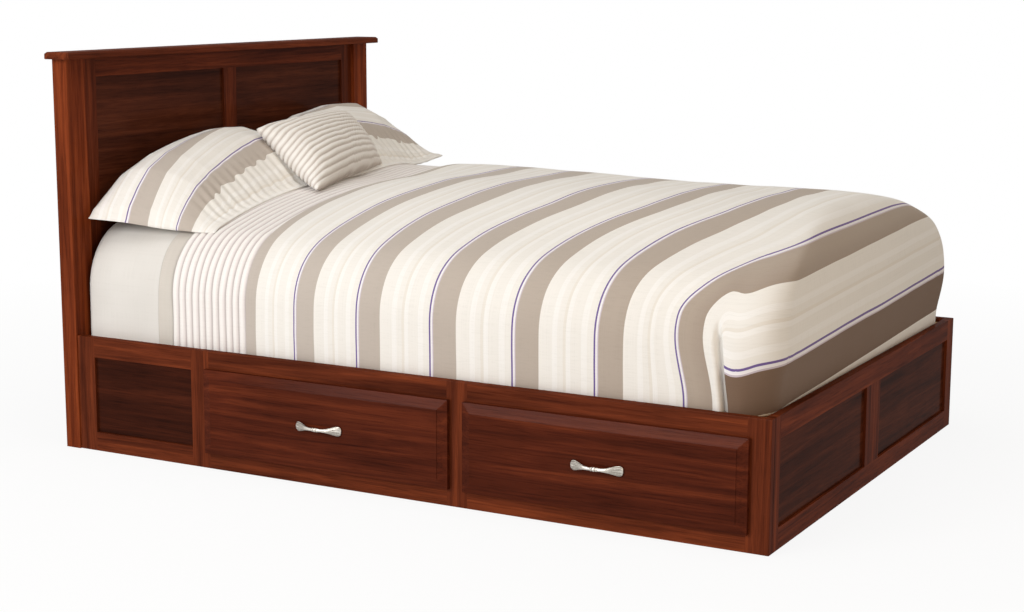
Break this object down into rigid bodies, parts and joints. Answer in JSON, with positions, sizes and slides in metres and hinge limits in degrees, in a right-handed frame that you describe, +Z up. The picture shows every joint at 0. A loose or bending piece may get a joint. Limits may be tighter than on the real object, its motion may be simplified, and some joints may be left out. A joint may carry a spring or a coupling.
{
  "type": "platform bed with storage drawers",
  "caption": "Dark cherry platform bed: panelled headboard with a cap, framed base with sliding storage drawers on both sides, mattress and striped bedding.",
  "frame": {"origin": "on the floor, at the middle of the bed's box", "axes": "+X from head to foot, +Y to the right as seen from the foot, +Z up"},
  "size_m": [2.038, 1.5214, 1.068],
  "materials": {
    "cherry_frame": "satin lacquer over reddish-brown stain",
    "cherry_panel": "satin lacquer over reddish-brown stain",
    "plywood": "bare plywood",
    "drawer_maple": "clear lacquer",
    "satin_nickel": "satin",
    "zinc_steel": "zinc plated",
    "slide_steel": "zinc plated",
    "white_sheet": "woven cotton",
    "ribbed_cotton": "corded cotton",
    "ribbed_cushion": "corded cotton",
    "striped_cotton": "woven cotton with cross stripes"
  },
  "bodies": {
    "bed_frame": {"bed_bolts": "zinc_steel", "centre_spine": "plywood", "comforter": "striped_cotton", "coverlet": "ribbed_cotton", "cross_dividers": "plywood", "cushion": "ribbed_cushion", "deck_cleats": "plywood", "deck_panels": "plywood", "foot_bottom_rail": "cherry_frame", "foot_panels": "cherry_panel", "foot_stiles": "cherry_frame", "foot_top_rail": "cherry_frame", "headboard_bottom_rail": "cherry_frame", "headboard_cap": "cherry_frame", "headboard_left_post": "cherry_frame", "headboard_panels": "cherry_panel", "headboard_right_post": "cherry_frame", "headboard_stiles": "cherry_frame", "headboard_top_rail": "cherry_frame", "left_sham": "striped_cotton", "left_side_bottom_rails": "cherry_frame", "left_side_panel": "cherry_panel", "left_side_stiles": "cherry_frame", "left_side_top_rails": "cherry_frame", "mattress": "white_sheet", "right_sham": "striped_cotton", "right_side_bottom_rails": "cherry_frame", "right_side_panel": "cherry_panel", "right_side_stiles": "cherry_frame", "right_side_top_rails": "cherry_frame", "slide_tracks": "slide_steel"},
    "left_head_drawer": {"left_head_drawer_bottom": "drawer_maple", "left_head_drawer_box": "drawer_maple", "left_head_drawer_front": "cherry_frame", "left_head_drawer_pull": "satin_nickel", "left_head_drawer_pull_screws": "zinc_steel", "left_head_drawer_slide_rails": "slide_steel"},
    "left_head_middle_slides": {"left_head_middle_slides": "slide_steel"},
    "left_foot_drawer": {"left_foot_drawer_bottom": "drawer_maple", "left_foot_drawer_box": "drawer_maple", "left_foot_drawer_front": "cherry_frame", "left_foot_drawer_pull": "satin_nickel", "left_foot_drawer_pull_screws": "zinc_steel", "left_foot_drawer_slide_rails": "slide_steel"},
    "left_foot_middle_slides": {"left_foot_middle_slides": "slide_steel"},
    "right_head_drawer": {"right_head_drawer_bottom": "drawer_maple", "right_head_drawer_box": "drawer_maple", "right_head_drawer_front": "cherry_frame", "right_head_drawer_pull": "satin_nickel", "right_head_drawer_pull_screws": "zinc_steel", "right_head_drawer_slide_rails": "slide_steel"},
    "right_head_middle_slides": {"right_head_middle_slides": "slide_steel"},
    "right_foot_drawer": {"right_foot_drawer_bottom": "drawer_maple", "right_foot_drawer_box": "drawer_maple", "right_foot_drawer_front": "cherry_frame", "right_foot_drawer_pull": "satin_nickel", "right_foot_drawer_pull_screws": "zinc_steel", "right_foot_drawer_slide_rails": "slide_steel"},
    "right_foot_middle_slides": {"right_foot_middle_slides": "slide_steel"}
  },
  "joints": [
    {"name": "left_head_drawer_slide", "type": "slide", "parent": "bed_frame", "child": "left_head_drawer", "axis": [0, -1, 0], "range_m": [0, 0.54]},
    {"name": "left_head_middle_slide", "type": "slide", "parent": "bed_frame", "child": "left_head_middle_slides", "axis": [0, -1, 0], "range_m": [0, 0.27]},
    {"name": "left_foot_drawer_slide", "type": "slide", "parent": "bed_frame", "child": "left_foot_drawer", "axis": [0, -1, 0], "range_m": [0, 0.54]},
    {"name": "left_foot_middle_slide", "type": "slide", "parent": "bed_frame", "child": "left_foot_middle_slides", "axis": [0, -1, 0], "range_m": [0, 0.27]},
    {"name": "right_head_drawer_slide", "type": "slide", "parent": "bed_frame", "child": "right_head_drawer", "axis": [0, 1, 0], "range_m": [0, 0.54]},
    {"name": "right_head_middle_slide", "type": "slide", "parent": "bed_frame", "child": "right_head_middle_slides", "axis": [0, 1, 0], "range_m": [0, 0.27]},
    {"name": "right_foot_drawer_slide", "type": "slide", "parent": "bed_frame", "child": "right_foot_drawer", "axis": [0, 1, 0], "range_m": [0, 0.54]},
    {"name": "right_foot_middle_slide", "type": "slide", "parent": "bed_frame", "child": "right_foot_middle_slides", "axis": [0, 1, 0], "range_m": [0, 0.27]}
  ],
  "couplings": [
    {"joint": "left_head_middle_slide", "follows": "left_head_drawer_slide", "ratio": 0.5},
    {"joint": "left_foot_middle_slide", "follows": "left_foot_drawer_slide", "ratio": 0.5},
    {"joint": "right_head_middle_slide", "follows": "right_head_drawer_slide", "ratio": 0.5},
    {"joint": "right_foot_middle_slide", "follows": "right_foot_drawer_slide", "ratio": 0.5}
  ]
}
